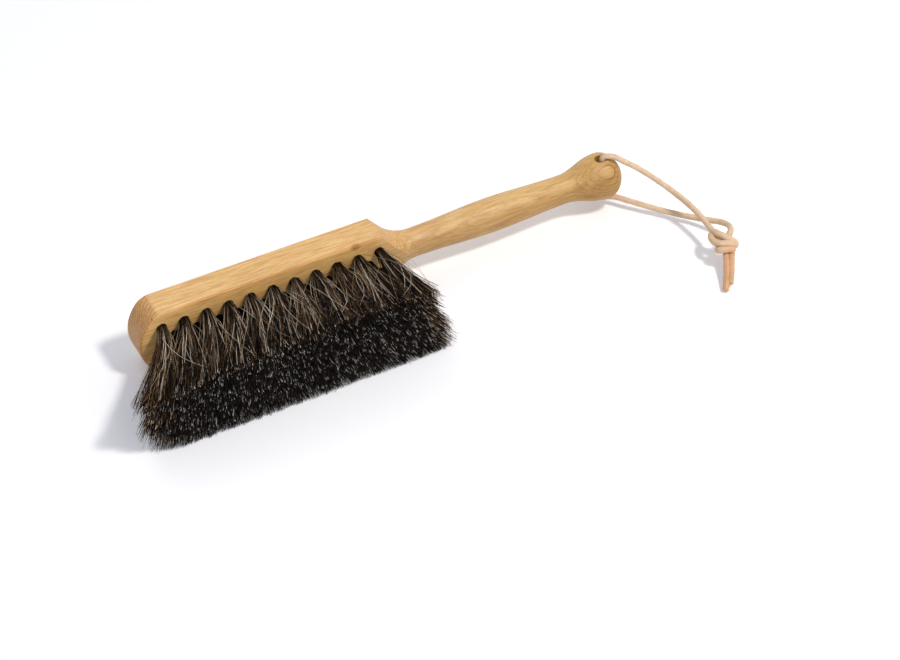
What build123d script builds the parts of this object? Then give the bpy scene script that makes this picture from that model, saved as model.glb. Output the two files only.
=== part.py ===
from build123d import *
import os
from math import cos, hypot, pi, radians, sin, sqrt, tan

# Hand broom: a one-piece beech block and turned handle, 42 tufts of hair and a leather hanging thong.
# It lies on its side, as it is put down. +X runs from the block to the knob, the hair points to -Y,
# and the block's lower side is on Z = 0. The origin is the middle of that side. Lengths are in mm.

# Block: thickness along Y. Its length and width follow from the tufts and their margins
block_thickness = 17.4
nose_bow_radius = 25.0
nose_corner_radius = 10.0
arris_radius = 1.5

# Tuft holes: staggered rows, drilled blind into the face that points to -Y
tuft_pitch = 12.0
first_tuft_station = 12.7
last_tuft_margin = 1.3
long_row_count = 11
row_spacing = 7.0
row_margin = 8.9
row_count = 4
tuft_hole_radius = 2.5
tuft_hole_depth = 11.0

# Shoulder: a turned flare that ends on the block's corners and runs into the neck in a cove
shoulder_length = 22.0
shoulder_angle = 48.0
neck_radius = 7.7

# Handle: a grip, a waist and a knob with a rounded end. Each run starts where the last one ends
neck_to_grip = 47.0
grip_radius = 9.3
grip_to_waist = 43.5
waist_radius = 7.9
waist_to_knob = 24.1
knob_radius = 12.8
knob_depth = 10.6
knob_corner_share = 0.85

# Cross-hole through the knob for the thong, along the block's width
cross_hole_setback = 1.0
cross_hole_radius = 3.0
cross_hole_mouth_radius = 0.9

# Wire staples: one across the fold of each tuft, with its legs driven into the wood
staple_wire = 0.7
staple_span = 3.2
staple_leg_in_wood = 3.0
fold_under_staple = 1.0
staple_clearance = 0.1

# Hair: thick strands that stand for the hairs, fanned out to the face where the brush is trimmed
hair_reach = 52.0
tuft_clearance = 0.1
bundle_sides = 8
strands_per_tuft = 8
strand_sides = 3
strand_root_radius = 0.46
strand_tip_radius = 0.34
strand_overlap = 0.6
root_spread_share = 0.78
nose_overhang = 29.0
handle_overhang = 11.0
trim_floor_gap = 0.5
trim_height_at_nose = 38.0
trim_height_at_handle = 47.0
cell_fill_share = 0.98

# Thong: one round leather lace. Each bend takes up this share of the shorter run beside it
thong_diameter = 3.0
bend_arc_share = 0.45
knot_stub_length = 5.0

# One overrun serves every cut
overrun = 2.0

# Places that follow from the sizes above
block_length = first_tuft_station + (long_row_count - 1) * tuft_pitch + last_tuft_margin
block_width = 2 * row_margin + (row_count - 1) * row_spacing
axis_z = block_width / 2
back_face_y = block_thickness / 2
drilled_face_y = -block_thickness / 2
hole_floor_y = drilled_face_y + tuft_hole_depth
trim_y = drilled_face_y - hair_reach
nose_x = -block_length / 2
shoulder_x = nose_x + block_length
neck_x = shoulder_x + shoulder_length
grip_x = neck_x + neck_to_grip
waist_x = grip_x + grip_to_waist
knob_x = waist_x + waist_to_knob
end_x = knob_x + knob_depth
cross_hole_x = knob_x - cross_hole_setback
tuft_radius = tuft_hole_radius - tuft_clearance
trim_start_x = nose_x + first_tuft_station - tuft_hole_radius - nose_overhang
trim_length = (long_row_count - 1) * tuft_pitch + 2 * tuft_hole_radius + nose_overhang + handle_overhang
cell_length = trim_length / long_row_count
golden_angle = pi * (3 - sqrt(5))

# Thong routes, chosen by hand. Both limbs start halfway through the knob, inside the cross-hole.
upper_route = [
    (203.4, -0.8, 19.4),
    (203.4, -0.8, 35.0),
    (208.6, -3.9, 35.2),
    (219.6, -11.6, 25.8),
    (232.6, -27.8, 17.2),
    (238.0, -46.0, 14.0),
    (236.4, -60.6, 12.9),
]
lower_route = [
    (203.4, -0.8, 19.4),
    (203.4, -0.8, 3.6),
    (209.4, -3.9, 3.5),
    (240.6, -41.2, 4.8),
    (249.2, -57.2, 11.2),
    (244.4, -65.4, 13.3),
]
long_tail_route = [(235.0, -76.2, 9.2), (230.6, -85.0, 5.6), (224.6, -92.8, 1.8)]
short_tail_route = [(238.1, -78.0, 9.6), (235.0, -84.4, 6.2), (230.4, -91.2, 3.2)]

# Knot: two bands of lace round a core, a smaller band over the entry, and stubs that meet the laces.
# The bands are drawn tight, so that their section is nearer to a square with its corners cut off.
knot_centre = (237.6, -68.4, 11.9)
knot_direction = (-0.286, -0.925, -0.248)
knot_band_run = 3.6
knot_band_turn_radius = 3.3
knot_band_pitch = 3.0
knot_band_sides = 8
knot_core_length = 9.0
knot_entry_band_share = 0.8
knot_entry_tilt = 38.0


def cell_height(x):
    """Height of one row's share of the trimmed face, which rises from the nose to the handle."""
    share = (x - trim_start_x) / trim_length
    height = trim_height_at_nose + (trim_height_at_handle - trim_height_at_nose) * share
    return (height - trim_floor_gap) / row_count


def tuft_places():
    """Each tuft's name, the middle of its hole and the middle of its cell on the trimmed face.

    Every second row has one tuft less and stands half a pitch along. The cells fan out from the holes.
    """
    places = []
    for row in range(row_count):
        shorter = row % 2
        for place in range(long_row_count - shorter):
            steps = place + shorter / 2
            root_x = nose_x + first_tuft_station + steps * tuft_pitch
            root_z = block_width - row_margin - row * row_spacing
            tip_x = trim_start_x + (steps + 0.5) * cell_length
            tip_z = trim_floor_gap + (row_count - row - 0.5) * cell_height(tip_x)
            name = f"tuft_row{row + 1}_{place + 1:02d}"
            places.append((name, (root_x, root_z), (tip_x, tip_z)))
    return places


def face_plane(y):
    """A sketch plane square to the holes, at depth y, with its axes along X and Z."""
    return Plane.XZ.offset(-y)


def cut_shoulder_profile():
    """Half profile of the turned flare and cove, which trims the block down to the neck."""
    corner_distance = hypot(axis_z, back_face_y)
    slope = tan(radians(shoulder_angle))
    turn_sine = sin(radians(shoulder_angle))
    turn_drop = 1 - cos(radians(shoulder_angle))
    flare_drop = corner_distance - neck_radius
    cove_radius = (shoulder_length * slope - flare_drop) / (turn_sine * slope - turn_drop)
    cove_start = (neck_x - cove_radius * turn_sine, neck_radius + cove_radius * turn_drop)
    rim_radius = corner_distance + overrun
    rim_x = shoulder_x - overrun / slope
    with BuildSketch(Plane.XY.offset(axis_z)) as profile:
        with BuildLine():
            Polyline(
                (neck_x, 0),
                (nose_x - overrun, 0),
                (nose_x - overrun, rim_radius),
                (rim_x, rim_radius),
                cove_start,
            )
            RadiusArc(cove_start, (neck_x, neck_radius), -cove_radius)
            Line((neck_x, neck_radius), (neck_x, 0))
        make_face()
    return profile.sketch


def handle_profile():
    """Half profile of the turned handle: neck, grip, waist, and a knob with a rounded end."""
    corner_radius = knob_depth * knob_corner_share
    corner_rise = knob_radius - corner_radius
    cap_radius = (knob_depth**2 + corner_rise**2 - corner_radius**2) / (2 * (knob_depth - corner_radius))
    corner_lead = (cap_radius - knob_depth) / (cap_radius - corner_radius)
    corner_climb = corner_rise / (cap_radius - corner_radius)
    cap_start = (knob_x + corner_radius * corner_lead, corner_rise + corner_radius * corner_climb)
    with BuildSketch(Plane.XY.offset(axis_z)) as profile:
        with BuildLine():
            Line((end_x, 0), (neck_x, 0))
            Line((neck_x, 0), (neck_x, neck_radius))
            Spline(
                (neck_x, neck_radius),
                (grip_x, grip_radius),
                (waist_x, waist_radius),
                (knob_x, knob_radius),
                tangents=[(1, 0), (1, 0), (1, 0), (1, 0)],
            )
            RadiusArc((knob_x, knob_radius), cap_start, corner_radius)
            RadiusArc(cap_start, (end_x, 0), cap_radius)
        make_face()
    return profile.sketch


def cross_hole_profile():
    """Half profile of the cross-hole, with its two mouths rounded over."""
    mouth_height = knob_radius - cross_hole_radius**2 / (2 * knob_radius)
    straight_height = mouth_height - cross_hole_mouth_radius
    mouth_width = cross_hole_radius + cross_hole_mouth_radius
    with BuildSketch(Plane((cross_hole_x, 0, axis_z), x_dir=(1, 0, 0), z_dir=(0, -1, 0))) as profile:
        with BuildLine():
            Polyline(
                (mouth_width, mouth_height),
                (mouth_width, knob_radius + overrun),
                (0, knob_radius + overrun),
                (0, -knob_radius - overrun),
                (mouth_width, -knob_radius - overrun),
                (mouth_width, -mouth_height),
            )
            RadiusArc(
                (mouth_width, -mouth_height), (cross_hole_radius, -straight_height), cross_hole_mouth_radius
            )
            Line((cross_hole_radius, -straight_height), (cross_hole_radius, straight_height))
            RadiusArc(
                (cross_hole_radius, straight_height), (mouth_width, mouth_height), cross_hole_mouth_radius
            )
        make_face()
    return profile.sketch


def make_body():
    """Block, shoulder, neck, handle and knob in one piece of wood, with its holes."""
    bow_depth = nose_bow_radius - sqrt(nose_bow_radius**2 - axis_z**2)
    handle_axis = Axis((0, 0, axis_z), (1, 0, 0))
    cross_axis = Axis((cross_hole_x, 0, axis_z), (0, 0, 1))

    with BuildPart() as body:
        with BuildSketch(face_plane(back_face_y)) as plan:
            with BuildLine():
                ThreePointArc(
                    (nose_x + bow_depth, 0), (nose_x, axis_z), (nose_x + bow_depth, block_width)
                )
                Polyline(
                    (nose_x + bow_depth, block_width),
                    (neck_x, block_width),
                    (neck_x, 0),
                    (nose_x + bow_depth, 0),
                )
            make_face()
            fillet(plan.vertices().group_by(Axis.X)[0], nose_corner_radius)
        extrude(amount=block_thickness)
        fillet(body.edges().filter_by(Plane.XZ), arris_radius)
        revolve(cut_shoulder_profile(), axis=handle_axis, mode=Mode.INTERSECT)
        revolve(handle_profile(), axis=handle_axis)
        revolve(cross_hole_profile(), axis=cross_axis, mode=Mode.SUBTRACT)

        with BuildSketch(face_plane(drilled_face_y)):
            with Locations([root for name, root, tip in tuft_places()]):
                Circle(tuft_hole_radius)
        extrude(amount=-tuft_hole_depth, mode=Mode.SUBTRACT)

        leg_offset = (staple_span - staple_wire) / 2
        pocket_side = staple_wire + 2 * staple_clearance
        pocket_places = []
        for name, (x, z), tip in tuft_places():
            pocket_places += [(x - leg_offset, z), (x + leg_offset, z)]
        with BuildSketch(face_plane(hole_floor_y)):
            with Locations(pocket_places):
                Rectangle(pocket_side, pocket_side)
        extrude(amount=-staple_leg_in_wood - staple_clearance, mode=Mode.SUBTRACT)
    return body.part


def draw_staple(x, z, clearance):
    """Staple in the X-Y plane at one tuft: a crown over the fold, and two legs into the wood."""
    crown_y = hole_floor_y - fold_under_staple - staple_wire
    leg_length = staple_wire + fold_under_staple + staple_leg_in_wood
    half_span = staple_span / 2 + clearance
    inner_half_span = staple_span / 2 - staple_wire - clearance
    top = crown_y - clearance
    under = crown_y + staple_wire + clearance
    foot = crown_y + leg_length + clearance
    with BuildSketch(Plane.XY.offset(z - staple_wire / 2 - clearance)) as outline:
        with BuildLine():
            Polyline(
                (x - half_span, foot),
                (x - half_span, top),
                (x + half_span, top),
                (x + half_span, foot),
                (x + inner_half_span, foot),
                (x + inner_half_span, under),
                (x - inner_half_span, under),
                (x - inner_half_span, foot),
                close=True,
            )
        make_face()
    return outline.sketch


def make_staples():
    """All staples as one group of separate solids."""
    with BuildPart() as staples:
        for name, (x, z), tip in tuft_places():
            extrude(draw_staple(x, z, 0), amount=staple_wire)
    return staples.part


def make_strand(root, tip):
    """One tapered strand from inside the tuft's root to the trimmed face."""
    stations = [
        (drilled_face_y + strand_overlap, root, strand_root_radius),
        (trim_y, tip, strand_tip_radius),
    ]
    with BuildPart() as strand:
        for y, place, radius in stations:
            with BuildSketch(face_plane(y)):
                with Locations(place):
                    RegularPolygon(radius, strand_sides)
        loft(ruled=True)
    return strand.part


def make_tuft(middle, tip_middle, turn):
    """A folded bundle in its hole, round the staple, and the strands that fan out to its cell."""
    x, z = middle
    root_reach = tuft_radius * root_spread_share
    tip_reach_x = cell_length / 2 * cell_fill_share - strand_tip_radius
    tip_reach_z = cell_height(tip_middle[0]) / 2 * cell_fill_share - strand_tip_radius
    strands = []
    for index in range(strands_per_tuft):
        distance_share = sqrt((index + 0.5) / strands_per_tuft)
        angle = turn + index * golden_angle
        across = distance_share * cos(angle)
        upward = distance_share * sin(angle)
        root = (x + across * root_reach, z + upward * root_reach)
        tip = (tip_middle[0] + across * tip_reach_x, tip_middle[1] + upward * tip_reach_z)
        strands.append(make_strand(root, tip))

    with BuildPart() as tuft:
        with BuildSketch(face_plane(hole_floor_y)):
            with Locations((x, z)):
                RegularPolygon(tuft_radius, bundle_sides)
        extrude(amount=tuft_hole_depth)
        slot_width = staple_wire + 2 * staple_clearance
        extrude(draw_staple(x, z, staple_clearance), amount=slot_width, mode=Mode.SUBTRACT)
        add(strands)
    return tuft.part


def bend_radii(route):
    """One radius for each corner of a route: as large as its two runs allow."""
    points = [Vector(*point) for point in route]
    radii = []
    for before, corner, after in zip(points, points[1:], points[2:]):
        run_in = corner - before
        run_out = after - corner
        half_turn = radians(run_in.get_angle(run_out)) / 2
        radii.append(bend_arc_share * min(run_in.length, run_out.length) / tan(half_turn))
    return radii


def make_lace(name, route):
    """A free stretch of the lace: straight runs joined by tangent arcs."""
    radii = bend_radii(route)
    with BuildPart() as lace:
        with BuildLine() as path:
            FilletPolyline(*route, radius=radii)
        centreline = path.wire()
        with BuildSketch(Plane(origin=centreline @ 0, z_dir=centreline % 0)):
            Circle(thong_diameter / 2)
        sweep()
    expected = centreline.length * pi * thong_diameter**2 / 4
    print(name, "length", round(centreline.length, 1), "radii", [round(radius, 1) for radius in radii])
    print(name, "volume", round(lace.part.volume, 1), "expected", round(expected, 1))
    return lace.part


def make_band(plane, turn_radius, run):
    """One band of lace round the knot: two straight runs and two half turns."""
    with BuildPart() as band:
        with BuildLine(plane) as path:
            Line((-run / 2, turn_radius), (run / 2, turn_radius))
            ThreePointArc((run / 2, turn_radius), (run / 2 + turn_radius, 0), (run / 2, -turn_radius))
            Line((run / 2, -turn_radius), (-run / 2, -turn_radius))
            ThreePointArc(
                (-run / 2, -turn_radius), (-run / 2 - turn_radius, 0), (-run / 2, turn_radius)
            )
        loop = path.wire()
        with BuildSketch(Plane(origin=loop @ 0, z_dir=loop % 0)):
            RegularPolygon(thong_diameter / 2, knot_band_sides)
        sweep()
    return band.part


def make_stub(start, towards):
    """A short end of lace that reaches from the knot's core to the end of a free stretch."""
    with BuildPart() as stub:
        with BuildSketch(Plane(origin=start, z_dir=towards)):
            Circle(thong_diameter / 2)
        extrude(amount=knot_stub_length)
    return stub.part


def make_knot():
    """The overhand knot: bands round a core, and a stub for each of the four laces that enter it."""
    across = Vector(*knot_direction).cross(Vector(0, 0, 1))
    middle = Plane(origin=knot_centre, x_dir=across, z_dir=knot_direction)
    lower_band = make_band(middle.offset(knot_band_pitch), knot_band_turn_radius, knot_band_run)
    upper_band = make_band(middle, knot_band_turn_radius, knot_band_run)
    entry_plane = middle.offset(-knot_band_pitch).rotated((0, knot_entry_tilt, 0))
    entry_band = make_band(
        entry_plane, knot_band_turn_radius * knot_entry_band_share, knot_band_run * knot_entry_band_share
    )
    stubs = []
    for route in (upper_route, lower_route):
        end = Vector(*route[-1])
        stubs.append(make_stub(end, end - Vector(*route[-2])))
    for route in (long_tail_route, short_tail_route):
        start = Vector(*route[0])
        stubs.append(make_stub(start, start - Vector(*route[1])))

    with BuildPart() as knot:
        with BuildSketch(middle.offset(-knot_core_length / 2)):
            SlotCenterToCenter(knot_band_run, 2 * knot_band_turn_radius)
        extrude(amount=knot_core_length)
        add([lower_band, upper_band, entry_band] + stubs)
    return knot.part


def write_piece(piece, name):
    """Label a finished piece and write it to its own file."""
    piece.label = name
    export_step(piece, f"parts/{name}.step")


def main():
    os.makedirs("parts", exist_ok=True)
    write_piece(make_body(), "broom_body")
    write_piece(make_staples(), "tuft_staples")
    for index, (name, root, tip) in enumerate(tuft_places()):
        write_piece(make_tuft(root, tip, index * golden_angle), name)
    write_piece(make_lace("thong_upper_limb", upper_route), "thong_upper_limb")
    write_piece(make_lace("thong_lower_limb", lower_route), "thong_lower_limb")
    write_piece(make_knot(), "thong_knot")
    write_piece(make_lace("thong_long_tail", long_tail_route), "thong_long_tail")
    write_piece(make_lace("thong_short_tail", short_tail_route), "thong_short_tail")


main()
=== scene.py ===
import math

import bpy
import numpy as np
from mathutils import Matrix, Vector


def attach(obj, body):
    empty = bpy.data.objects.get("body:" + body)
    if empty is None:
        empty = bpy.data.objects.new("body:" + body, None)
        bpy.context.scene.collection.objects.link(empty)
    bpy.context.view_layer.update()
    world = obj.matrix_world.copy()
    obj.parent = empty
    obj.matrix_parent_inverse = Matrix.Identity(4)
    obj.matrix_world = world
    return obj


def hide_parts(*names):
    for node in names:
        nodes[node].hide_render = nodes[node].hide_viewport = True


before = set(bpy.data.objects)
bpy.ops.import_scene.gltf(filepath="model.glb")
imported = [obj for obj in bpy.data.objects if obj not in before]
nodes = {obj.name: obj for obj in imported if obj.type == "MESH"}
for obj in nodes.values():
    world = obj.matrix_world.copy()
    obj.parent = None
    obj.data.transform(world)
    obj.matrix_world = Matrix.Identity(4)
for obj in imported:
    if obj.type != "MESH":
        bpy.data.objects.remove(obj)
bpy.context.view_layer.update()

# A hand broom that lies on its side. The wood and the staples are the CAD solids. The leather thong
# and the hair, down to single hairs, are modelled here. Names that end in _MM are in millimetres,
# and so is all of the hair before it becomes a mesh. The rest is in metres
MM = 0.001
# A turn in radians, as near as random waves need it
FULL_TURN = 6.28
scene = bpy.context.scene
collection = scene.collection


# Camera: fitted to the block's corners, the tuft roots and the handle's outline
CAMERA_PLACE_MM = (-317.645, -800.879, 813.047)
CAMERA_RIGHT = (0.88139, -0.47238, 0.0)
CAMERA_UP = (0.32607, 0.60840, 0.72355)
CAMERA_BACK = (-0.34179, -0.63773, 0.69027)
CAMERA_LENS = 92
CAMERA_SENSOR = 36
CAMERA_NEAREST = 0.05
CAMERA_FARTHEST = 20

camera_data = bpy.data.cameras.new("camera")
camera_data.lens = CAMERA_LENS
camera_data.sensor_width = CAMERA_SENSOR
camera_data.clip_start = CAMERA_NEAREST
camera_data.clip_end = CAMERA_FARTHEST
camera = bpy.data.objects.new("camera", camera_data)
collection.objects.link(camera)
turn = Matrix((CAMERA_RIGHT, CAMERA_UP, CAMERA_BACK)).transposed().to_4x4()
camera.matrix_world = Matrix.Translation(Vector(CAMERA_PLACE_MM) * MM) @ turn
scene.camera = camera


def new_object(name, verts, faces, smooth=True):
    mesh = bpy.data.meshes.new(name)
    mesh.from_pydata([tuple(v) for v in verts], [], faces)
    mesh.validate()
    if smooth:
        mesh.shade_smooth()
    obj = bpy.data.objects.new(name, mesh)
    collection.objects.link(obj)
    return obj


# Lace: one round leather lace, drawn a little towards a square, as it was cut from hide
LACE_DIAMETER_MM = 3.0
LACE_RADIUS = LACE_DIAMETER_MM / 2 * MM
LACE_SIDES = 20
LACE_SQUARENESS = 0.35
TAIL_SQUARENESS = 0.8
CORNER_REACH = 1.22
LACE_WOBBLE = 0.05
LACE_TWIST = 0.02
# Its thickness varies in three waves: the share of each, and its radians for each millimetre
SWELL_WAVES = ((0.5, 0.9), (0.3, 2.3), (0.2, 4.1))
TAPER_RUN = 5 * MM
# A cut end is an inset ring and a point in its middle, which bulge out by a share of the radius
CUT_INSET = 0.86
CUT_BULGE = 0.08


def spline_points(route_mm, resolution=16):
    """Points along a smooth line: a NURBS spline with the route's points as control points."""
    curve = bpy.data.curves.new("route", "CURVE")
    curve.dimensions = "3D"
    curve.resolution_u = resolution
    spline = curve.splines.new("NURBS")
    spline.points.add(len(route_mm) - 1)
    for point, place in zip(spline.points, route_mm):
        point.co = (place[0] * MM, place[1] * MM, place[2] * MM, 1)
    spline.order_u = 3
    spline.use_endpoint_u = True
    holder = bpy.data.objects.new("route", curve)
    collection.objects.link(holder)
    bpy.context.view_layer.update()
    line = bpy.data.meshes.new_from_object(holder)
    points = [v.co.copy() for v in line.vertices]
    bpy.data.objects.remove(holder)
    bpy.data.curves.remove(curve)
    bpy.data.meshes.remove(line)
    return points


def line_length(points):
    return sum((b - a).length for a, b in zip(points, points[1:]))


def carried_frames(points, start_side):
    """Tangent, side and lift at each point, carried along without twist."""
    frames = []
    side = Vector(start_side)
    for index in range(len(points)):
        before = points[max(index - 1, 0)]
        after = points[min(index + 1, len(points) - 1)]
        tangent = (after - before).normalized()
        side = (side - tangent * side.dot(tangent)).normalized()
        frames.append((tangent, side, tangent.cross(side)))
    return frames


def lace_section(squareness):
    """A round section, drawn towards a square with soft corners."""
    shape = []
    for step in range(LACE_SIDES):
        angle = 2 * math.pi * step / LACE_SIDES
        c, s = math.cos(angle), math.sin(angle)
        reach = 1 / max(abs(c), abs(s))
        radius = 1 + squareness * (min(reach, CORNER_REACH) - 1)
        shape.append((c * radius, s * radius))
    return shape


def cut_end(verts, faces, ring, centre, tangent, outward, radius):
    """Closes a lace at its first ring, with outward -1, or at its last, with outward 1."""
    base = ring * LACE_SIDES
    bulge = tangent * outward * radius * CUT_BULGE
    inset = len(verts)
    for k in range(LACE_SIDES):
        verts.append(centre + (verts[base + k] - centre) * CUT_INSET + bulge)
    verts.append(centre + bulge)
    middle = len(verts) - 1
    for k in range(LACE_SIDES):
        first, second = k, (k + 1) % LACE_SIDES
        if outward < 0:
            first, second = second, first
        faces.append((base + first, base + second, inset + second, inset + first))
        faces.append((inset + first, inset + second, middle))


def lace_mesh(points, radius, squareness, seed, start_side, wobble, twist=0.0, fuller=0.0):
    """Verts and faces of a lace that follows points, with cut ends and slight unevenness.

    twist is in radians for each millimetre. fuller is how much thicker the lace is in its middle.
    """
    whole = line_length(points)
    rng = np.random.default_rng(seed)
    phase = rng.uniform(0, FULL_TURN, 4)
    section = lace_section(squareness)
    verts, faces = [], []
    run = 0.0
    frames = carried_frames(points, start_side)
    for index, (point, (_, side, lift)) in enumerate(zip(points, frames)):
        if index:
            run += (point - points[index - 1]).length
        swell = 1 + wobble * sum(
            share * math.sin(run / MM * pace + start)
            for (share, pace), start in zip(SWELL_WAVES, phase)
        )
        swell *= 1 + fuller * min(1.0, min(run, whole - run) / TAPER_RUN)
        spin = twist * run / MM + phase[3]
        for a, b in section:
            x = a * math.cos(spin) - b * math.sin(spin)
            y = a * math.sin(spin) + b * math.cos(spin)
            verts.append(point + (side * x + lift * y) * radius * swell)
    last = len(points) - 1
    for ring in range(last):
        for k in range(LACE_SIDES):
            a = ring * LACE_SIDES + k
            b = ring * LACE_SIDES + (k + 1) % LACE_SIDES
            faces.append((a, b, b + LACE_SIDES, a + LACE_SIDES))
    for ring, outward in ((0, -1), (last, 1)):
        cut_end(verts, faces, ring, points[ring], frames[ring][0], outward, radius)
    return verts, faces


# Thong: the routes' points are those of the CAD routes, a few of them moved or added
UPPER_ROUTE_MM = [
    (203.4, -0.8, 19.4),
    (203.4, -0.8, 28.9),
    (203.4, -0.8, 33.6),
    (208.6, -3.9, 33.8),
    (212.7, -6.5, 30.9),
    (220.9, -11.8, 25.8),
    (232.6, -27.0, 17.2),
    (237.4, -47.2, 14.0),
    (236.4, -60.6, 12.9),
]
LOWER_ROUTE_MM = [
    (203.4, -0.8, 19.4),
    (203.4, -0.8, 10.4),
    (203.4, -0.8, 4.6),
    (209.4, -3.9, 5.8),
    (212.8, -9.1, 6.2),
    (228.4, -26.4, 4.0),
    (241.5, -41.3, 4.8),
    (250.4, -59.0, 11.2),
    (244.4, -65.4, 13.3),
]
LONG_TAIL_ROUTE_MM = [(235.0, -76.2, 9.2), (230.6, -85.0, 5.6), (224.6, -92.8, 1.8)]
SHORT_TAIL_ROUTE_MM = [(237.2, -78.0, 9.6), (233.6, -84.3, 6.2), (228.6, -90.6, 3.0)]


def make_lace(name, route, seed, replaced, squareness=LACE_SQUARENESS):
    points = spline_points(route)
    verts, faces = lace_mesh(
        points, LACE_RADIUS, squareness, seed, (1, 0, 0), LACE_WOBBLE, LACE_TWIST
    )
    obj = new_object(name, verts, faces)
    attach(obj, "root")
    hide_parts(replaced)
    return obj, points


upper_limb, upper_points = make_lace("lace_upper_limb", UPPER_ROUTE_MM, 1, "thong_upper_limb")
lower_limb, lower_points = make_lace("lace_lower_limb", LOWER_ROUTE_MM, 2, "thong_lower_limb")
long_tail, _ = make_lace(
    "lace_long_tail", LONG_TAIL_ROUTE_MM, 3, "thong_long_tail", TAIL_SQUARENESS
)
short_tail, _ = make_lace(
    "lace_short_tail", SHORT_TAIL_ROUTE_MM, 4, "thong_short_tail", TAIL_SQUARENESS
)

# Knot: both laces in one overhand knot. Points are left, along and up from its middle, in mm
KNOT_CENTRE_MM = Vector((237.6, -68.4, 11.9))
KNOT_ALONG = Vector((-0.286, -0.925, -0.248)).normalized()
KNOT_LEFT = KNOT_ALONG.cross(Vector((0, 0, 1))).normalized()
KNOT_UP = KNOT_LEFT.cross(KNOT_ALONG)
KNOT_RESOLUTION = 12
KNOT_LACE_SHARE = 1.03
KNOT_SQUARENESS = 0.3
KNOT_WOBBLE = 0.04
KNOT_FULLER = 0.17
KNOT_STRAND_A = [
    (3.5, -7.1, -0.8),
    (4.0, -5.3, 1.6),
    (2.8, -3.0, 3.1),
    (0.6, -0.5, 3.9),
    (-2.2, 2.2, 4.0),
    (-5.3, 3.2, 2.4),
    (-6.5, 3.2, -0.4),
    (-4.4, 3.4, -2.0),
    (-3.3, 6.0, -1.2),
    (-2.8, 9.6, 0.0),
]
KNOT_STRAND_B = [
    (-5.6, -5.1, 0.1),
    (-4.2, -2.4, 0.7),
    (-1.2, -1.0, 0.4),
    (2.0, -3.6, 0.0),
    (4.6, -5.0, 0.0),
    (6.0, -1.9, 0.9),
    (5.4, 1.9, 2.5),
    (2.6, 4.2, 3.6),
    (-1.3, 4.7, 3.6),
    (-5.0, 4.6, 1.7),
    (-5.4, 4.0, -0.8),
    (-1.1, 2.4, -0.9),
    (2.8, 4.2, -0.8),
    (4.4, 6.2, 1.0),
    (2.6, 7.5, 2.6),
    (-1.3, 7.4, 2.5),
    (-4.1, 6.8, 0.7),
    (-2.4, 5.6, -1.2),
    (0.1, 6.4, -1.2),
    (0.2, 8.9, -0.7),
]


def knot_place(local):
    left, along, up = local
    return tuple(KNOT_CENTRE_MM + KNOT_LEFT * left + KNOT_ALONG * along + KNOT_UP * up)


knot_verts, knot_faces = [], []
for seed, strand in ((5, KNOT_STRAND_A), (6, KNOT_STRAND_B)):
    strand_points = spline_points([knot_place(p) for p in strand], KNOT_RESOLUTION)
    verts, faces = lace_mesh(
        strand_points,
        LACE_RADIUS * KNOT_LACE_SHARE,
        KNOT_SQUARENESS,
        seed,
        tuple(KNOT_UP),
        KNOT_WOBBLE,
        fuller=KNOT_FULLER,
    )
    first = len(knot_verts)
    knot_verts += verts
    knot_faces += [tuple(first + i for i in face) for face in faces]
knot = new_object("lace_knot", knot_verts, knot_faces)
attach(knot, "root")
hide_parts("thong_knot")


# Hair: each tuft is a bundle of fine hairs that fans out from its hole to the trimmed face.
# Places of the tufts, as the CAD has them
NOSE_X = -67.0
FIRST_TUFT = 12.7
PITCH = 12.0
LONG_ROW = 11
ROWS = 4
BLOCK_WIDTH = 38.8
ROW_MARGIN = 8.9
FACE_Y = -8.7
REACH = 52.0
TUFT_RADIUS = 2.35
ROOT_DEPTH = 3.0

# Outline of the trimmed face, from the photo: its upper edge and its two ends, from the nose
UPPER_EDGE_X = (-30.0, -7.5, 5.0, 18.0, 30.6, 56.3, 90.7, 104.4, 115.7, 150.0)
UPPER_EDGE_Z = (35.5, 36.5, 38.0, 41.0, 42.0, 43.4, 47.0, 47.2, 45.0, 41.0)
LEFT_END_Z = (0.0, 4.3, 13.9, 28.3, 38.0, 46.7)
LEFT_END_X = (-15.0, -15.8, -17.5, -18.5, -18.8, -18.0)
RIGHT_END_Z = (0.0, 9.4, 20.0, 28.5, 37.1, 46.8)
RIGHT_END_X = (152.0, 148.3, 143.0, 141.2, 139.3, 134.8)
# The lowest tips are meant to end this far above the floor. No hair lies under the second height
FLOOR_GAP = 0.35
LOWEST_HAIR = 0.12

# Hairs of one tuft. The top row shows its sides, so it has more of them
HAIRS = 700
TOP_ROW_HAIRS = 980
HAIR_POINTS = 7
HAIR_SIDES = 3
HAIR_RADIUS = 0.125
TIP_TAPER = 0.8
# Its curl: how the sizes are spread, how many waves it has, and how soon past the root it is full
CURL_SPREAD = 1.6
CURL_WAVES = (0.6, 1.6)
CURL_RISE = 2.5

# Most hairs stand in small locks, close together at the root and at the tip. The others stand free
LOCKS = 170
FREE_SHARE = 0.30
LOCK_DISC = 0.93
LOCK_SPREAD = 0.07
LOCK_TIP_SPREAD = 0.035
# A tuft's tips fill its cell of the trimmed face and stray into the cells beside it, in cells
CELL_REACH = 0.60
CELL_STRAY = 0.31
# The trim is uneven, in millimetres, and stands a little proud of the face
TRIM_PROUD = 0.5
LOCK_TRIM = 0.50
OWN_TRIM = 0.60
WITHIN_LOCK_TRIM = 0.20
# Hair is shorter at both ends of the face: over these shares of its length, by these millimetres
NOSE_END = 0.10
NOSE_END_SHORTER = 4.5
HANDLE_END_START = 0.93
HANDLE_END = 0.07
HANDLE_END_SHORTER = 3.5
# Some hairs at both ends splay out past the rest: beyond which share, how many, and how far
NOSE_SPLAY = (0.06, 0.30, 6.5)
HANDLE_SPLAY = (0.94, 0.40, 4.5)
# Some hairs on the top row's outside stop short of the face
SHORT_SHARE = 0.5
SHORT_LENGTH = (0.84, 1.0)
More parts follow.
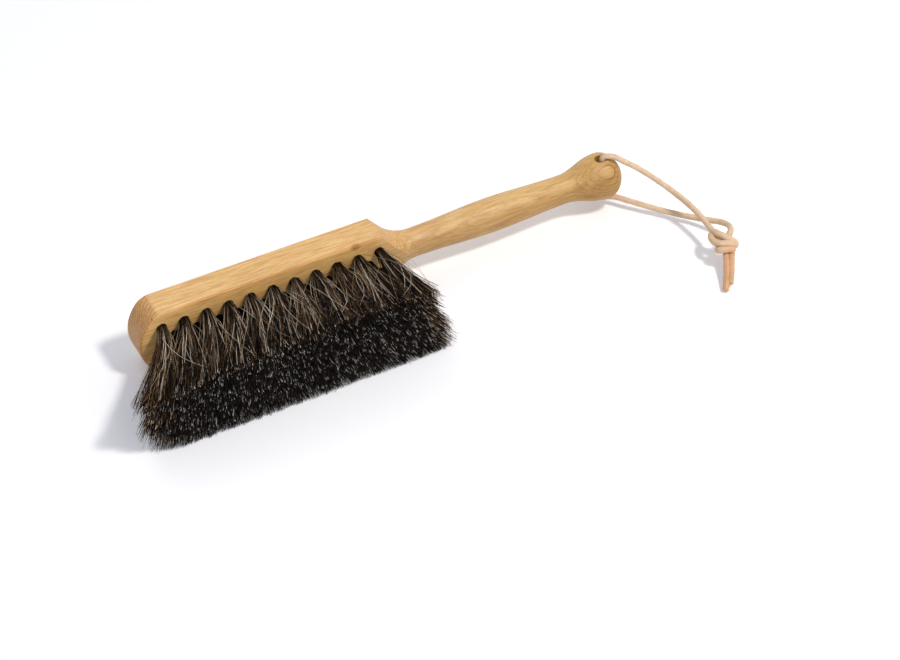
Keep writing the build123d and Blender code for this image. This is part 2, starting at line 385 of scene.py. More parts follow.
# Shares of the way from root to tip, across, along and up, at which a hair's curve is steered
HOLD_TOGETHER = (0.03, 0.24, 0.04)
ARRIVE_ACROSS = (0.42, 0.64)
ARRIVE_ALONG = 0.62
ARRIVE_UP = (0.44, 0.64)
TOP_ROW_CURL = 0.27
CURL = 0.18

# How much a hair shows its side, from 0 in the pile, where only tips are seen, to 1. It does on the
# top row's outside, and on the outside of the first and the last tufts
SHOWN_GAIN = 1.6
NOSE_SIDE_SHOWN = 0.9
NOSE_SIDE_START = 0.2
NOSE_SIDE_RISE = 1.2
HANDLE_SIDE_SHOWN = 0.5

# Tone runs from 0, which is black, to 1, which is straw. Few hairs are light. The rest are dull:
# dark in the pile, and brown or black by locks where sides show. Thickness is in hair radii.
# Values whose names have SHOWN in them are for hairs that show their side
LIGHT_SHARE = 0.165
LIGHT_SHARE_SHOWN_MORE = 0.025
PALE_LOWEST = 0.86
PALE_LOWEST_SHOWN_LESS = 0.06
DULL_HIGHEST = 0.60
BROWN_LOCKS_ABOVE = 0.60
BROWN_TONES = (0.44, 0.74)
BLACK_TONES = (0.0, 0.34)
LIGHT_THICKNESS = (0.9, 1.3)
LIGHT_THICKNESS_SHOWN = (1.0, 1.65)
DULL_THICKNESS = (0.8, 1.1)

# Long hairs that bow out of the top row, more of them on five of its tufts towards the handle
STRAYS = 12
MORE_STRAYS = 8
MORE_STRAYS_BETWEEN = (4, 10)
STRAY_CELLS = 0.85
STRAY_DEPTH = 0.55
STRAY_LENGTH = (0.80, 1.0)
STRAY_LEAVE = (0.1, 0.30, 0.1)
STRAY_ARRIVE = (0.6, 0.72, 0.75)
# Their bow in millimetres, and its shares to one side and up, early and late on the way
BOW = 7.0
EARLY_BOW = (0.5, 0.10)
LATE_BOW = (1.0, 0.12)
STRAY_CURL = 0.3
STRAY_THICKNESS = (0.9, 1.3)
STRAY_TONES = (0.66, 0.98)


def trim_place(u, v):
    """A point of the trimmed face: u from nose end to handle end, v from top to bottom."""
    x = LEFT_END_X[2] + u * (RIGHT_END_X[2] - LEFT_END_X[2])
    for _ in range(2):
        top = np.interp(x, UPPER_EDGE_X, UPPER_EDGE_Z)
        z = top + v * (FLOOR_GAP - top)
        low = np.interp(z, LEFT_END_Z, LEFT_END_X)
        high = np.interp(z, RIGHT_END_Z, RIGHT_END_X)
        x = low + u * (high - low)
    return x + NOSE_X, z


def smooth_paths(start, leave, arrive, end):
    """Cubic paths, as an array of hairs, points and axes."""
    t = np.linspace(0, 1, HAIR_POINTS)[None, :, None]
    a, b, c, d = (q[:, None, :] for q in (start, leave, arrive, end))
    return a * (1 - t) ** 3 + 3 * b * (1 - t) ** 2 * t + 3 * c * (1 - t) * t**2 + d * t**3


def waved(rng, paths, curl):
    """Gives each hair its own slight curl, which starts at nothing in the root."""
    hairs, points, _ = paths.shape
    t = np.linspace(0, 1, points)[None, :]
    for axis in (0, 2):
        size = rng.gamma(CURL_SPREAD, curl, hairs)[:, None]
        phase = rng.uniform(0, FULL_TURN, hairs)[:, None]
        waves = rng.uniform(*CURL_WAVES, hairs)[:, None]
        wave = np.sin(FULL_TURN * waves * t + phase)
        paths[:, :, axis] += size * wave * np.minimum(1, CURL_RISE * t)
    return paths


def hair_mesh(name, paths, radii, tones, inner):
    """One mesh of all hairs of a tuft. Its material reads tone, inner and along at each point."""
    hairs, points, _ = paths.shape
    angles = np.linspace(0, 2 * math.pi, HAIR_SIDES, endpoint=False)
    reach = radii[:, None, None] * np.linspace(1.0, TIP_TAPER, points)[None, :, None]
    verts = np.repeat(paths[:, :, None, :], HAIR_SIDES, axis=2)
    verts[..., 0] += np.cos(angles)[None, None, :] * reach
    verts[..., 2] += np.sin(angles)[None, None, :] * reach
    verts[..., 2] = np.maximum(verts[..., 2], LOWEST_HAIR)
    flat = verts.reshape(-1, 3) * MM

    ring = np.arange(HAIR_SIDES)
    following = (ring + 1) % HAIR_SIDES
    quads = []
    for p in range(points - 1):
        low, high = p * HAIR_SIDES, (p + 1) * HAIR_SIDES
        quads += [(low + a, high + a, high + b, low + b) for a, b in zip(ring, following)]
    caps = [tuple(ring), tuple((points - 1) * HAIR_SIDES + ring[::-1])]
    offsets = (np.arange(hairs) * points * HAIR_SIDES)[:, None, None]
    all_quads = (np.array(quads)[None] + offsets).reshape(-1, 4)
    all_caps = (np.array(caps)[None] + offsets).reshape(-1, HAIR_SIDES)
    faces = [tuple(f) for f in all_quads.tolist()] + [tuple(f) for f in all_caps.tolist()]
    obj = new_object(name, flat.tolist(), faces)

    along = np.tile(np.repeat(np.linspace(0, 1, points), HAIR_SIDES), hairs)
    for label, values in (
        ("tone", np.repeat(tones, points * HAIR_SIDES)),
        ("along", along),
        ("inner", np.repeat(inner, points * HAIR_SIDES)),
    ):
        layer = obj.data.attributes.new(label, "FLOAT", "POINT")
        layer.data.foreach_set("value", values.astype(np.float32))
    return obj


def disc_places(rng, count):
    """Random places in a unit disc."""
    distance = np.sqrt(rng.uniform(0, 1, count))
    angle = rng.uniform(0, 2 * math.pi, count)
    return distance * np.cos(angle), distance * np.sin(angle)


def turned_back(share):
    """Shares below 0 or above 1 are turned back to the inside."""
    share = np.where(share < 0, -share, np.where(share > 1, 2 - share, share))
    return np.clip(share, 0, 1)


def root_places(across, upward, root_x, root_z):
    depth = np.full(len(across), FACE_Y + ROOT_DEPTH)
    return np.stack([root_x + across * TUFT_RADIUS, depth, root_z + upward * TUFT_RADIUS], 1)


def side_shown(across, outer, steps):
    """How much each hair shows its side."""
    nose_side = np.clip(NOSE_SIDE_START - NOSE_SIDE_RISE * across, 0, 1)
    nose_side = nose_side * (NOSE_SIDE_SHOWN if steps < 1 else 0.0)
    handle_side = np.clip(across, 0, 1) * (HANDLE_SIDE_SHOWN if steps > LONG_ROW - 2 else 0.0)
    return np.clip(SHOWN_GAIN * np.maximum(np.maximum(outer, nose_side), handle_side), 0, 1)


def hair_looks(rng, free, lock, shown):
    """Radius and tone of each hair."""
    n = len(free)
    lock_tone = rng.uniform(0, 1, LOCKS)
    draw = 0.5 * np.where(free, rng.uniform(0, 1, n), lock_tone[lock])
    draw = draw + 0.5 * rng.uniform(0, 1, n)
    light = draw < LIGHT_SHARE + LIGHT_SHARE_SHOWN_MORE * shown
    pale = rng.uniform(PALE_LOWEST - PALE_LOWEST_SHOWN_LESS * shown, 1.0, n)
    brown_lock = lock_tone[lock] > BROWN_LOCKS_ABOVE
    brown = np.where(brown_lock, rng.uniform(*BROWN_TONES, n), rng.uniform(*BLACK_TONES, n))
    dull = DULL_HIGHEST * rng.uniform(0, 1, n) ** 2 * (1 - shown) + brown * shown
    thickness = rng.uniform(*LIGHT_THICKNESS, n) * (1 - shown)
    thickness = thickness + rng.uniform(*LIGHT_THICKNESS_SHOWN, n) * shown
    radii = HAIR_RADIUS * np.where(light, thickness, rng.uniform(*DULL_THICKNESS, n))
    return radii, np.where(light, pale, dull)


def main_hairs(rng, steps, row, root_x, root_z):
    """Most hairs of a tuft: they stand in small locks, and end on the trimmed face."""
    n = TOP_ROW_HAIRS if row == 0 else HAIRS
    lock = rng.integers(0, LOCKS, n)
    free = rng.uniform(0, 1, n) < FREE_SHARE

    def spread(own, of_lock, within_lock):
        return np.where(free, own, of_lock[lock] + rng.normal(0, within_lock, n))

    lock_across, lock_upward = disc_places(rng, LOCKS)
    own_across, own_upward = disc_places(rng, n)
    across = spread(own_across, lock_across * LOCK_DISC, LOCK_SPREAD)
    upward = spread(own_upward, lock_upward * LOCK_DISC, LOCK_SPREAD)
    lock_u = rng.normal(0, CELL_STRAY, LOCKS)
    lock_v = rng.normal(0, CELL_STRAY, LOCKS)
    stray_u = spread(rng.normal(0, CELL_STRAY, n), lock_u, LOCK_TIP_SPREAD)
    stray_v = spread(rng.normal(0, CELL_STRAY, n), lock_v, LOCK_TIP_SPREAD)
    u = turned_back((steps + 0.5 + CELL_REACH * across + stray_u) / LONG_ROW)
    v = turned_back((row + 0.5 - CELL_REACH * upward + stray_v) / ROWS)
    tip_x, tip_z = trim_place(u, v)

    shorter_at_nose = np.maximum(0, (NOSE_END - u) / NOSE_END) ** 2 * NOSE_END_SHORTER
    shorter_at_handle = np.maximum(0, (u - HANDLE_END_START) / HANDLE_END) ** 2
    shorter_at_ends = shorter_at_nose + shorter_at_handle * HANDLE_END_SHORTER
    lock_y = rng.normal(0, LOCK_TRIM, LOCKS)
    uneven = spread(rng.normal(0, OWN_TRIM, n), lock_y, WITHIN_LOCK_TRIM)
    tip_y = FACE_Y - REACH + shorter_at_ends + uneven - TRIM_PROUD

    wild = rng.uniform(0, 1, n)
    place, share, far = NOSE_SPLAY
    splayed_left = (u < place) & (wild < share)
    tip_x = tip_x - np.where(splayed_left, rng.uniform(0, far, n), 0)
    place, share, far = HANDLE_SPLAY
    splayed_right = (u > place) & (wild < share)
    tip_x = tip_x + np.where(splayed_right, rng.uniform(0, far, n), 0)
    outer = (row == 0) * np.clip(upward, 0, 1)
    short = wild > 1 - SHORT_SHARE * outer
    length_share = np.where(short, rng.uniform(*SHORT_LENGTH, n), 1.0)

    start = root_places(across, upward, root_x, root_z)
    end = start + (np.stack([tip_x, tip_y, tip_z], 1) - start) * length_share[:, None]
    span = end - start
    leave = start + span * np.array(HOLD_TOGETHER)
    arrive_across = rng.uniform(*ARRIVE_ACROSS, n)
    arrive_up = rng.uniform(*ARRIVE_UP, n)
    arrive = start + span * np.stack([arrive_across, np.full(n, ARRIVE_ALONG), arrive_up], 1)
    curl = TOP_ROW_CURL if row == 0 else CURL
    paths = waved(rng, smooth_paths(start, leave, arrive, end), curl)

    shown = side_shown(across, outer, steps)
    shown = np.where(splayed_left | splayed_right, 1.0, shown)
    radii, tones = hair_looks(rng, free, lock, shown)
    return paths, radii, tones, 1 - shown


def bowed(bow, share, lift):
    """Moves to one side by a share of the bow, and up a little whichever side that is."""
    return np.stack([bow * share, 0 * bow, np.abs(bow) * lift], 1)


def stray_hairs(rng, steps, root_x, root_z):
    """A few long hairs that bow out of the tuft and cross its neighbours."""
    after, before = MORE_STRAYS_BETWEEN
    n = STRAYS + MORE_STRAYS * (after < steps < before)
    across, upward = disc_places(rng, n)
    u = (steps + 0.5 + rng.normal(0, STRAY_CELLS, n)) / LONG_ROW
    v = rng.uniform(0.0, STRAY_DEPTH, n) / ROWS
    tip_x, tip_z = trim_place(np.clip(u, 0, 1), v)
    start = root_places(across, np.abs(upward), root_x, root_z)
    full = np.stack([tip_x, np.full(n, FACE_Y - REACH), tip_z], 1)
    end = start + (full - start) * rng.uniform(*STRAY_LENGTH, n)[:, None]
    span = end - start
    bow = rng.normal(0, BOW, n)
    leave = start + span * np.array(STRAY_LEAVE) + bowed(bow, *EARLY_BOW)
    arrive = start + span * np.array(STRAY_ARRIVE) + bowed(bow, *LATE_BOW)
    paths = waved(rng, smooth_paths(start, leave, arrive, end), STRAY_CURL)
    radii = HAIR_RADIUS * rng.uniform(*STRAY_THICKNESS, n)
    return paths, radii, rng.uniform(*STRAY_TONES, n), np.zeros(n)


rng = np.random.default_rng(20)
hair_objects = []
for row in range(ROWS):
    staggered = row % 2
    for place in range(LONG_ROW - staggered):
        steps = place + staggered / 2
        root_x = NOSE_X + FIRST_TUFT + steps * PITCH
        root_z = BLOCK_WIDTH - ROW_MARGIN - row * (BLOCK_WIDTH - 2 * ROW_MARGIN) / (ROWS - 1)
        label = f"row{row + 1}_{place + 1:02d}"
        hairs = main_hairs(rng, steps, row, root_x, root_z)
        if row == 0:
            strays = stray_hairs(rng, steps, root_x, root_z)
            hairs = [np.concatenate(pair) for pair in zip(hairs, strays)]
        hair = hair_mesh(f"hair_{label}", *hairs)
        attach(hair, "root")
        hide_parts(f"tuft_{label}")
        hair_objects.append(hair)


def new_material(name):
    material = bpy.data.materials.new(name)
    material.use_nodes = True
    tree = material.node_tree
    tree.nodes.clear()
    out = tree.nodes.new("ShaderNodeOutputMaterial")
    shader = tree.nodes.new("ShaderNodeBsdfPrincipled")
    tree.links.new(shader.outputs["BSDF"], out.inputs["Surface"])
    return material, tree, shader


def set_or_link(tree, value, socket):
    """Puts a socket's value, a number or a colour into another socket."""
    if isinstance(value, bpy.types.NodeSocket):
        tree.links.new(value, socket)
    elif isinstance(value, (int, float)):
        socket.default_value = value
    else:
        socket.default_value = (*value, 1)


def grey(value):
    return (value, value, value)


def ramp(tree, source, stops):
    """A colour ramp: each stop is its place and its colour."""
    node = tree.nodes.new("ShaderNodeValToRGB")
    elements = node.color_ramp.elements
    while len(elements) < len(stops):
        elements.new(0.5)
    for element, (place, colour) in zip(elements, stops):
        element.position = place
        element.color = (*colour, 1)
    tree.links.new(source, node.inputs["Fac"])
    return node.outputs["Color"]


def scaled(tree, vector, scale, location):
    mapping = tree.nodes.new("ShaderNodeMapping")
    mapping.inputs["Scale"].default_value = scale
    mapping.inputs["Location"].default_value = location
    tree.links.new(vector, mapping.inputs["Vector"])
    return mapping.outputs["Vector"]


def mapped(tree, scale, location=(0, 0, 0)):
    """Object coordinates, scaled and moved."""
    coords = tree.nodes.new("ShaderNodeTexCoord")
    return scaled(tree, coords.outputs["Object"], scale, location)


def parted(tree, vector):
    """The X, Y and Z of a vector, as sockets."""
    node = tree.nodes.new("ShaderNodeSeparateXYZ")
    tree.links.new(vector, node.inputs["Vector"])
    return node.outputs


def distance_from(tree, place_mm, scale):
    """Distance from a place on the object. scale multiplies it along each of the three axes."""
    location = tuple(-p * MM * s for p, s in zip(place_mm, scale))
    node = tree.nodes.new("ShaderNodeVectorMath")
    node.operation = "LENGTH"
    tree.links.new(mapped(tree, scale, location), node.inputs[0])
    return node.outputs["Value"]


def noise(tree, vector, detail=2.0, roughness=0.5, output="Fac"):
    """Noise with spots about as large as one unit of vector."""
    node = tree.nodes.new("ShaderNodeTexNoise")
    node.inputs["Scale"].default_value = 1.0
    node.inputs["Detail"].default_value = detail
    node.inputs["Roughness"].default_value = roughness
    tree.links.new(vector, node.inputs["Vector"])
    return node.outputs[output]


def mix_colour(tree, kind, factor, first, second):
    node = tree.nodes.new("ShaderNodeMix")
    node.data_type = "RGBA"
    node.blend_type = kind
    sockets = [s for s in node.inputs if s.enabled]
    for value, socket in zip((factor, first, second), sockets):
        set_or_link(tree, value, socket)
    return [s for s in node.outputs if s.enabled][0]


def tinted(tree, factor, colour, tint):
    """The colour multiplied by the tint, by the share that factor gives."""
    return mix_colour(tree, "MULTIPLY", factor, colour, tint)


def blended(tree, factor, colour, other):
    """From the colour towards the other, by the share that factor gives."""
    return mix_colour(tree, "MIX", factor, colour, other)


def maths(tree, kind, first, second=0.0, third=0.0, clamp=False):
    node = tree.nodes.new("ShaderNodeMath")
    node.operation = kind
    node.use_clamp = clamp
    for value, socket in zip((first, second, third), node.inputs):
        set_or_link(tree, value, socket)
    return node.outputs[0]


def product(tree, first, second):
    return maths(tree, "MULTIPLY", first, second)


def attribute(tree, name):
    node = tree.nodes.new("ShaderNodeAttribute")
    node.attribute_name = name
    return node.outputs["Fac"]


BUMP_DEPTH = 0.12 * MM


def bump(tree, shader, height, strength):
    node = tree.nodes.new("ShaderNodeBump")
    node.inputs["Strength"].default_value = strength
    node.inputs["Distance"].default_value = BUMP_DEPTH
    tree.links.new(height, node.inputs["Height"])
    tree.links.new(node.outputs["Normal"], shader.inputs["Normal"])


# Beech: growth rings round a far pith, fine fibres and short ray flecks. A texture's scale is in
# spots for each metre along, across and up
PITH_MM = (0.0, 52.0, -34.0)
RING_SCALE = 230
GRAIN_DRIFT = 0.0030
BEECH_TONES = [
    (0.30, (0.77, 0.455, 0.168)),
    (0.50, (0.84, 0.535, 0.215)),
    (0.70, (0.87, 0.585, 0.247)),
]
FLECK_COLOUR = (0.42, 0.19, 0.065)
FIGURE_COLOUR = (0.56, 0.285, 0.095)
END_GRAIN_TINT = (0.78, 0.60, 0.40)
# The edge tint is painted shade on the block's rounded upper edge
EDGE_SHADE_TINT = (0.78, 0.61, 0.41)
DENT_COLOUR = (0.33, 0.125, 0.018)
DENT_PLACE_MM = (52.6, -8.6, 38.0)
DENT_SCALE = (280, 420, 420)
KNOB_EYE_MM = (208.5, -9.5, 29.0)
KNOB_EYE_SCALE = (90, 90, 90)
# Along the broom, 0 is this far before the block's middle, and 1 is one ALONG_LENGTH further
ALONG_START = -0.10
ALONG_LENGTH = 0.30


def wandering(tree, scale, location=(0, 0, 0)):
    """Object coordinates that drift slowly off the straight, as grain does."""
    drift = noise(tree, mapped(tree, (22, 60, 60)), 1.0, output="Color")
    shift = tree.nodes.new("ShaderNodeVectorMath")
    shift.operation = "MULTIPLY_ADD"
    shift.inputs[1].default_value = (0.0, GRAIN_DRIFT, GRAIN_DRIFT)
    tree.links.new(drift, shift.inputs[0])
    tree.links.new(mapped(tree, (1, 1, 1)), shift.inputs[2])
    return scaled(tree, shift.outputs["Vector"], scale, location)


def growth_rings(tree):
    wave = tree.nodes.new("ShaderNodeTexWave")
    wave.wave_type = "RINGS"
    wave.rings_direction = "X"
    wave.wave_profile = "SAW"
    wave.inputs["Scale"].default_value = RING_SCALE
    wave.inputs["Distortion"].default_value = 5.0
    wave.inputs["Detail"].default_value = 2.0
    wave.inputs["Detail Scale"].default_value = 0.30
    ring_space = wandering(tree, (0.06, 1.0, 1.0), tuple(-p * MM for p in PITH_MM))
    tree.links.new(ring_space, wave.inputs["Vector"])
    return wave.outputs["Fac"]


def beech_colour(tree, rings, fibres):
    """Plain beech: streaks, patches, rings, fibres, ray flecks, and flames of a bolder figure."""
    streaks = noise(tree, wandering(tree, (75, 420, 420)), 2.0, 0.6)
    colour = ramp(tree, streaks, BEECH_TONES)
    patches = noise(tree, mapped(tree, (14, 40, 40)), 2.0, 0.5)
    patch_tint = ramp(tree, patches, [(0.32, (0.90, 0.87, 0.80)), (0.60, grey(1.0))])
    colour = tinted(tree, 0.7, colour, patch_tint)
    ring_stops = [(0.0, grey(1.0)), (0.70, (0.97, 0.95, 0.92)), (0.97, (0.84, 0.74, 0.64))]
    colour = tinted(tree, 0.60, colour, ramp(tree, rings, ring_stops))
    fibre_stops = [(0.34, (0.74, 0.64, 0.54)), (0.54, grey(1.0)), (0.75, grey(1.08))]
    colour = tinted(tree, 0.75, colour, ramp(tree, fibres, fibre_stops))
    cells = tree.nodes.new("ShaderNodeTexVoronoi")
    cells.inputs["Scale"].default_value = 1.0
    tree.links.new(wandering(tree, (340, 1300, 1300)), cells.inputs["Vector"])
    flecks = ramp(tree, cells.outputs["Distance"], [(0.12, grey(1)), (0.30, grey(0))])
    colour = blended(tree, product(tree, flecks, 0.30), colour, FLECK_COLOUR)
    figure = noise(tree, wandering(tree, (62, 330, 330), (3.1, 1.7, 0.4)), 2.0, 0.6)
    figure = ramp(tree, figure, [(0.56, grey(0)), (0.66, grey(0.46))])
    return blended(tree, figure, colour, FIGURE_COLOUR)


def with_end_grain(tree, colour, rings, along, normal):
    """Darker where the fibres end: crisp on the nose, soft on the cove and the knob."""
    ring_stops = [(0.0, grey(1.0)), (0.60, grey(0.88)), (0.94, (0.60, 0.48, 0.36))]
    dark_end = tinted(tree, 1.0, END_GRAIN_TINT, ramp(tree, rings, ring_stops))
    across_grain = maths(tree, "ABSOLUTE", normal["X"])
    crisp = ramp(tree, across_grain, [(0.10, grey(0)), (0.26, grey(0.80)), (1.0, grey(1))])
    soft = ramp(tree, across_grain, [(0.08, grey(0)), (0.85, grey(1))])
    on_nose = ramp(tree, along, [(0.30, grey(0.88)), (0.45, grey(0))])
    past_block = ramp(tree, along, [(0.45, grey(0)), (0.52, grey(0.42)), (0.90, grey(0.50))])
    colour = tinted(tree, product(tree, crisp, on_nose), colour, dark_end)
    return tinted(tree, product(tree, soft, past_block), colour, dark_end)


def with_edge_shade_and_dent(tree, colour, along, normal):
    """The block's upper edge on the hair side has painted shade, which dims its highlight, and one
    small dent.
    """
    edge = product(tree, product(tree, normal["Y"], -2.0), normal["Z"])
    edge = ramp(tree, edge, [(0.15, grey(0)), (0.70, grey(1))])
    block_stops = [(0.13, grey(0)), (0.18, grey(0.75)), (0.545, grey(0.75)), (0.56, grey(0))]
    on_edge = product(tree, edge, ramp(tree, along, block_stops))
    colour = tinted(tree, on_edge, colour, EDGE_SHADE_TINT)
    dent = distance_from(tree, DENT_PLACE_MM, DENT_SCALE)
    dent = ramp(tree, dent, [(0.45, grey(0.80)), (1.0, grey(0))])
    return blended(tree, dent, colour, DENT_COLOUR)


def with_darker_knob_end(tree, colour, rings, along):
    """The handle is darker towards the knob, where the rings show as ovals."""
    knob_end_tint = ramp(
        tree,
        along,
        [
            (0.50, grey(1.0)),
            (0.66, (0.92, 0.92, 0.94)),
            (0.90, (0.87, 0.87, 0.82)),
            (1.0, (0.79, 0.76, 0.61)),
        ],
    )
    colour = tinted(tree, 1.0, colour, knob_end_tint)
    ring_stops = [(0.0, grey(1.05)), (0.55, grey(1.0)), (0.93, (0.60, 0.46, 0.32))]
    eye = distance_from(tree, KNOB_EYE_MM, KNOB_EYE_SCALE)
    near_eye = ramp(tree, eye, [(0.60, grey(0.80)), (0.85, grey(0.15)), (1.0, grey(0.05))])
    return tinted(tree, near_eye, colour, ramp(tree, rings, ring_stops))


def with_painted_side_light(tree, colour, along, normal):
    """Painted light by facing: painted shade on the handle's hair side, a pale bluish painted
    highlight on its far side, and painted light that keeps the drilled face pale.
    """
    facing = maths(tree, "MULTIPLY_ADD", normal["Y"], 0.5, 0.5)
    handle_side_light = ramp(
        tree,
        facing,
        [
            (0.0, (0.68, 0.63, 0.52)),
            (0.18, (0.86, 0.84, 0.79)),
            (0.5, grey(1.0)),
            (0.72, (1.04, 1.08, 1.15)),
        ],
    )
    on_handle = ramp(tree, along, [(0.54, grey(0)), (0.62, grey(1))])
    colour = tinted(tree, on_handle, colour, handle_side_light)
    drilled_face_light = ramp(tree, facing, [(0.02, (1.20, 1.15, 1.06)), (0.10, grey(1.0))])
    return tinted(tree, maths(tree, "SUBTRACT", 1.0, on_handle), colour, drilled_face_light)


def make_beech():
    material, tree, shader = new_material("oiled_beech")
    rings = growth_rings(tree)
    fibres = noise(tree, wandering(tree, (70, 1500, 1500)), 3.0, 0.65)
    normal = parted(tree, tree.nodes.new("ShaderNodeTexCoord").outputs["Normal"])
    place = parted(tree, mapped(tree, (1, 1, 1)))
    along = maths(
        tree, "MULTIPLY_ADD", place["X"], 1 / ALONG_LENGTH, -ALONG_START / ALONG_LENGTH
    )
    colour = beech_colour(tree, rings, fibres)
    colour = with_end_grain(tree, colour, rings, along, normal)
    colour = with_edge_shade_and_dent(tree, colour, along, normal)
    colour = with_darker_knob_end(tree, colour, rings, along)
    colour = with_painted_side_light(tree, colour, along, normal)
    tree.links.new(colour, shader.inputs["Base Color"])
    rough = ramp(tree, fibres, [(0.3, grey(0.56)), (0.7, grey(0.46))])
    tree.links.new(rough, shader.inputs["Roughness"])
    bump(tree, shader, fibres, 0.25)
    return material


# Hair: one tone for each hair, from black to straw. Hairs of the pile are greyer
HAIR_TONES = [
    (0.0, (0.0042, 0.0032, 0.0027)),
    (0.28, (0.012, 0.0075, 0.005)),
    (0.50, (0.070, 0.034, 0.014)),
    (0.64, (0.215, 0.120, 0.055)),
    (0.80, (0.49, 0.345, 0.205)),
    (1.0, (1.0, 0.88, 0.70)),
]
PILE_GREY_SHARE = 0.55


def make_horsehair():
    material, tree, shader = new_material("horsehair")
    along, inner = attribute(tree, "along"), attribute(tree, "inner")
    colour = ramp(tree, attribute(tree, "tone"), HAIR_TONES)
    plain = tree.nodes.new("ShaderNodeRGBToBW")
    tree.links.new(colour, plain.inputs["Color"])
    colour = blended(tree, product(tree, inner, PILE_GREY_SHARE), colour, plain.outputs["Val"])
    streaks = noise(tree, mapped(tree, (900, 120, 900)), 1.0)
    colour = tinted(tree, 0.5, colour, ramp(tree, streaks, [(0.3, grey(0.6)), (0.7, grey(1.2))]))

    # Painted shade: darker close to the floor, in the roots, and in the pile below the tips
    height = product(tree, parted(tree, mapped(tree, (1, 1, 1)))["Z"], 100.0)
    floor_shade = ramp(tree, height, [(0.04, grey(0.25)), (0.45, grey(1.0))])
    colour = tinted(tree, 1.0, colour, floor_shade)
    root_shade = ramp(tree, along, [(0.09, grey(0.18)), (0.40, grey(1.0))])
    colour = tinted(tree, 1.0, colour, root_shade)
    pile_shade = ramp(tree, along, [(0.925, grey(0.08)), (0.985, grey(1.0))])
    colour = tinted(tree, inner, colour, pile_shade)
    tree.links.new(colour, shader.inputs["Base Color"])
    shader.inputs["Roughness"].default_value = 0.50
    shader.inputs["Specular IOR Level"].default_value = 0.05
    return material


# Leather: pale, undyed, with fine pores and slightly darker patches
LEATHER_TONES = [
    (0.30, (0.62, 0.42, 0.255)),
    (0.52, (0.73, 0.52, 0.33)),
    (0.75, (0.80, 0.60, 0.405)),
]
TAIL_TINT = (0.90, 0.72, 0.60)
TAIL_START_Y = -0.074
TAIL_FADE = 0.005


def make_leather():
    material, tree, shader = new_material("undyed_leather")
    mottle = noise(tree, mapped(tree, (160, 160, 160)), 3.0, 0.6)
    pores = noise(tree, mapped(tree, (2600, 2600, 2600)), 2.0, 0.6)
    colour = ramp(tree, mottle, LEATHER_TONES)
    colour = tinted(tree, 0.5, colour, ramp(tree, pores, [(0.32, grey(0.72)), (0.55, grey(1.0))]))
    y = parted(tree, mapped(tree, (1, 1, 1)))["Y"]
    in_tail = maths(
        tree, "MULTIPLY_ADD", y, -1 / TAIL_FADE, TAIL_START_Y / TAIL_FADE, clamp=True
    )
    colour = tinted(tree, in_tail, colour, TAIL_TINT)
    tree.links.new(colour, shader.inputs["Base Color"])
    shader.inputs["Roughness"].default_value = 0.68
    bump(tree, shader, pores, 0.35)
    return material


def make_wire():
    """Drawn steel wire of the staples, hidden in the holes."""
    material, tree, shader = new_material("steel_wire")
    drawn = noise(tree, mapped(tree, (4000, 4000, 400)), 2.0)
    colour = ramp(tree, drawn, [(0.3, grey(0.42)), (0.7, grey(0.60))])
    tree.links.new(colour, shader.inputs["Base Color"])
    rough = ramp(tree, drawn, [(0.3, grey(0.30)), (0.7, grey(0.45))])
    tree.links.new(rough, shader.inputs["Roughness"])
    shader.inputs["Metallic"].default_value = 1.0
    return material


beech, horsehair, leather, wire = make_beech(), make_horsehair(), make_leather(), make_wire()
for obj, material in [
    (nodes["broom_body"], beech),
    (nodes["tuft_staples"], wire),
    *[(o, leather) for o in (upper_limb, lower_limb, long_tail, short_tail, knot)],
    *[(o, horsehair) for o in hair_objects],
    *[(nodes[n], horsehair) for n in nodes if n.startswith("tuft_row")],
    *[(nodes[n], leather) for n in nodes if n.startswith("thong_")],
]:
    obj.data.materials.clear()
    obj.data.materials.append(material)


# Floor and sky: both are brighter to look at than the light that they shed on things
FLOOR_HALF = 3
FLOOR_COLOUR = (0.93, 0.925, 0.93)
FLOOR_GLOW = 0.12
SKY_COLOUR = (0.83, 0.875, 1.0)
SKY_STRENGTH = 0.52


def shown_directly(tree):
    """1 for rays from the camera, gloss or glass, and 0 for rays that gather light on things."""
    rays = tree.nodes.new("ShaderNodeLightPath").outputs
    shown = maths(tree, "ADD", rays["Is Camera Ray"], rays["Is Glossy Ray"])
    return maths(tree, "ADD", shown, rays["Is Transmission Ray"], clamp=True)


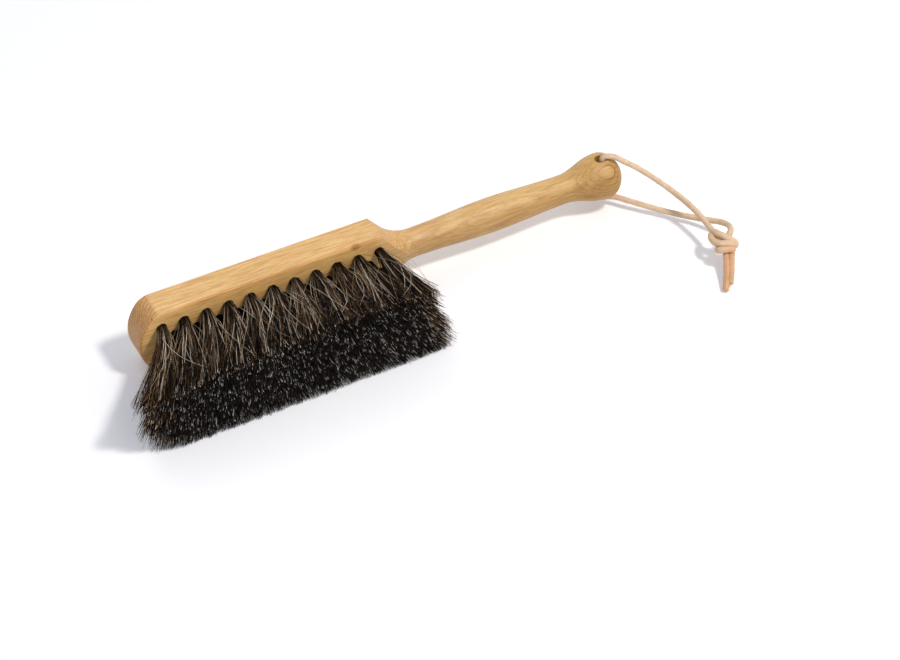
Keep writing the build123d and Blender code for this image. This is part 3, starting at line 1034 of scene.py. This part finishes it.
corners = [(x * FLOOR_HALF, y * FLOOR_HALF, 0) for x, y in ((-1, -1), (1, -1), (1, 1), (-1, 1))]
floor = new_object("floor", corners, [(0, 1, 2, 3)], smooth=False)
floor_material = bpy.data.materials.new("floor")
floor_material.use_nodes = True
tree = floor_material.node_tree
tree.nodes.clear()
out = tree.nodes.new("ShaderNodeOutputMaterial")
diffuse = tree.nodes.new("ShaderNodeBsdfDiffuse")
diffuse.inputs["Color"].default_value = (*FLOOR_COLOUR, 1)
glow = tree.nodes.new("ShaderNodeEmission")
glow.inputs["Color"].default_value = (1, 1, 1, 1)
tree.links.new(product(tree, shown_directly(tree), FLOOR_GLOW), glow.inputs["Strength"])
both = tree.nodes.new("ShaderNodeAddShader")
tree.links.new(diffuse.outputs["BSDF"], both.inputs[0])
tree.links.new(glow.outputs["Emission"], both.inputs[1])
tree.links.new(both.outputs["Shader"], out.inputs["Surface"])
floor.data.materials.append(floor_material)

world = bpy.data.worlds.new("studio")
scene.world = world
world.use_nodes = True
tree = world.node_tree
tree.nodes.clear()
out = tree.nodes.new("ShaderNodeOutputWorld")
sky = tree.nodes.new("ShaderNodeBackground")
sky.inputs["Color"].default_value = (*SKY_COLOUR, 1)
strength = maths(tree, "MULTIPLY_ADD", shown_directly(tree), 1 - SKY_STRENGTH, SKY_STRENGTH)
tree.links.new(strength, sky.inputs["Strength"])
tree.links.new(sky.outputs["Background"], out.inputs["Surface"])

# One small key light for the clear shadows, and two large soft ones, from the front and from behind
LIGHT_TARGET = Vector((0.07, -0.02, 0.02))
for name, direction, distance, width, power, colour in (
    ("key", (0.384, -0.46, 1.0), 1.6, 0.24, 15.2, (1.0, 0.97, 0.93)),
    ("front", (0.10, -0.90, 0.45), 1.8, 1.3, 3.6, (1.0, 0.97, 0.94)),
    ("behind", (-0.15, 0.80, 0.85), 1.8, 1.3, 4.0, (0.96, 0.98, 1.0)),
):
    direction = Vector(direction).normalized()
    lamp_data = bpy.data.lights.new(name, "AREA")
    lamp_data.shape = "DISK"
    lamp_data.size = width
    lamp_data.energy = power
    lamp_data.color = colour
    lamp = bpy.data.objects.new(name, lamp_data)
    collection.objects.link(lamp)
    lamp.location = LIGHT_TARGET + direction * distance
    lamp.rotation_mode = "QUATERNION"
    lamp.rotation_quaternion = direction.to_track_quat("Z", "Y")

scene.view_settings.view_transform = "Standard"
